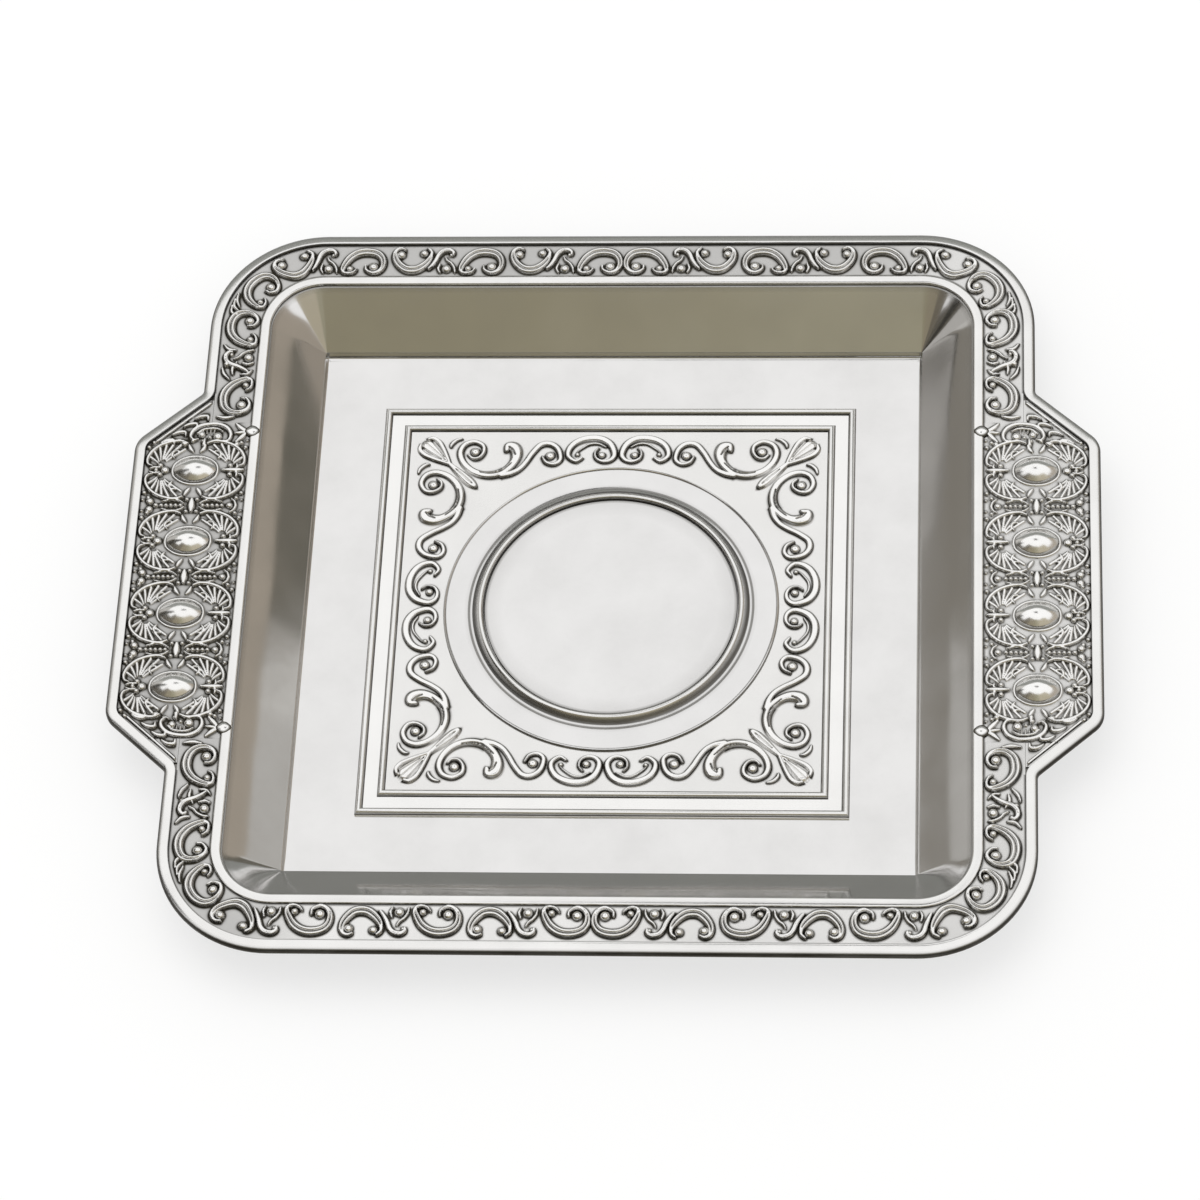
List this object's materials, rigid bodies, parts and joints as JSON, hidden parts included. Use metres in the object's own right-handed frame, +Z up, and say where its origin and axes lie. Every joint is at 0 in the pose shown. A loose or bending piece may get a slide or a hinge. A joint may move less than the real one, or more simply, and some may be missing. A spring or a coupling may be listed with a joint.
{
  "type": "matzah tray",
  "caption": "Shallow square plated metal tray with leaning walls, a scroll-bordered rim, two flat handle ears with domed bosses, and a framed floor plaque; holds square matzah.",
  "frame": {"origin": "middle of the flat underside, on the surface that the tray stands on", "axes": "+X from ear to ear, +Y to the back, +Z up"},
  "size_m": [0.3016, 0.2616, 0.0213],
  "materials": {
    "plated_sheet": "polished",
    "plated_stamping": "polished relief with darker recesses",
    "plated_wire": "polished",
    "plated_boss": "polished"
  },
  "bodies": {
    "root": {"dish_pan": "plated_sheet", "medallion_step": "plated_sheet", "medallion_disc": "plated_sheet", "border_front_right": "plated_stamping", "border_front_left": "plated_stamping", "border_back_right": "plated_stamping", "border_back_left": "plated_stamping", "handle_panel_right": "plated_stamping", "handle_panel_left": "plated_stamping", "floor_plaque": "plated_stamping", "opening_wire": "plated_wire", "edge_wire": "plated_wire", "plaque_outer_frame": "plated_wire", "plaque_inner_frame": "plated_wire", "medallion_ring": "plated_wire", "boss_right_1": "plated_boss", "boss_right_2": "plated_boss", "boss_right_3": "plated_boss", "boss_right_4": "plated_boss", "boss_left_1": "plated_boss", "boss_left_2": "plated_boss", "boss_left_3": "plated_boss", "boss_left_4": "plated_boss"}
  },
  "joints": []
}
